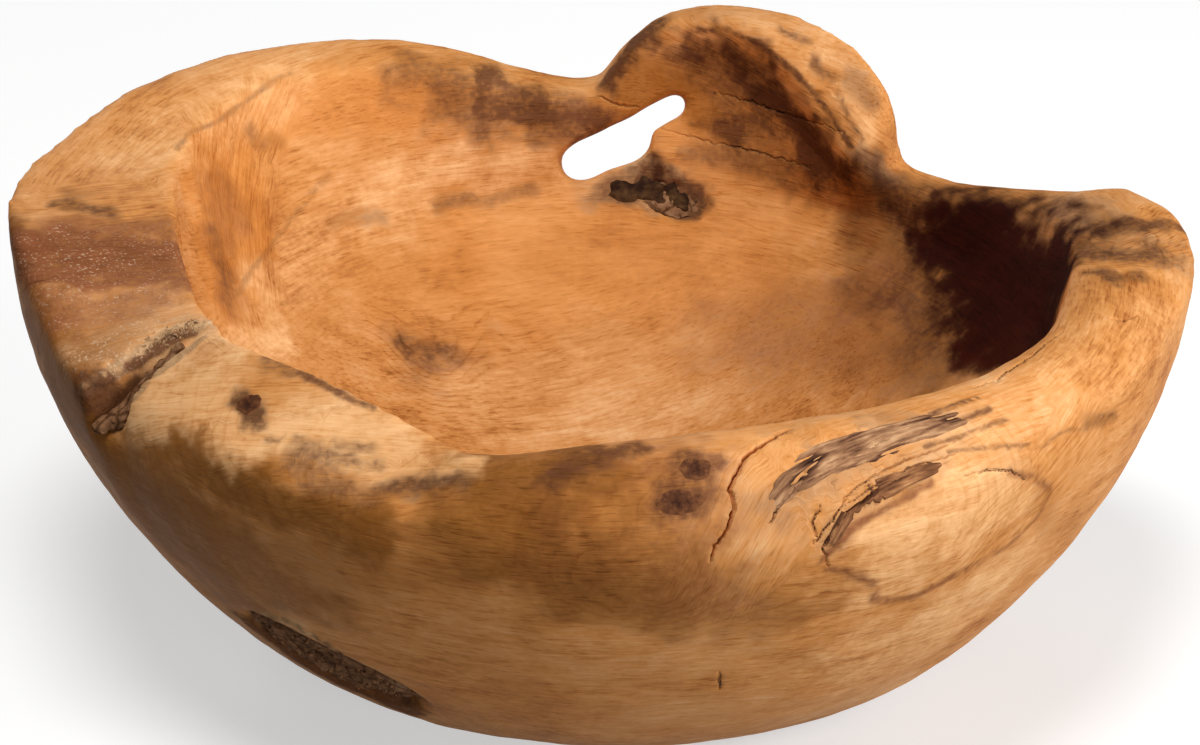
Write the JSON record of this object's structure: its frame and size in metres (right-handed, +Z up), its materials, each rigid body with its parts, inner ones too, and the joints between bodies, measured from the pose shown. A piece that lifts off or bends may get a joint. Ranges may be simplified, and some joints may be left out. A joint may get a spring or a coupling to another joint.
{
  "type": "dough bowl",
  "caption": "Rounded wooden dough bowl carved from one tree root, with an uneven natural rim, a raised ear over a finger slot, and bark and knots left in the wood.",
  "frame": {"origin": "middle of the flat underside, on the table", "axes": "+Z up, +X along the bowl's width to the right of the front view, +Y from the low front lip to the back with the ear"},
  "size_m": [0.3013, 0.2506, 0.1307],
  "materials": {
    "root_wood": "sanded and oiled, soft sheen",
    "bark": "rough and dull",
    "weathered_bark": "grey, weathered and dull",
    "knot_wood": "dark, sanded with the wood round it"
  },
  "bodies": {
    "root": {"bowl_body": "root_wood", "pocket_bark": "bark", "recess_bark": "bark", "seam_bark": "bark", "rim_bark": "weathered_bark", "dead_knots": "knot_wood"}
  },
  "joints": []
}
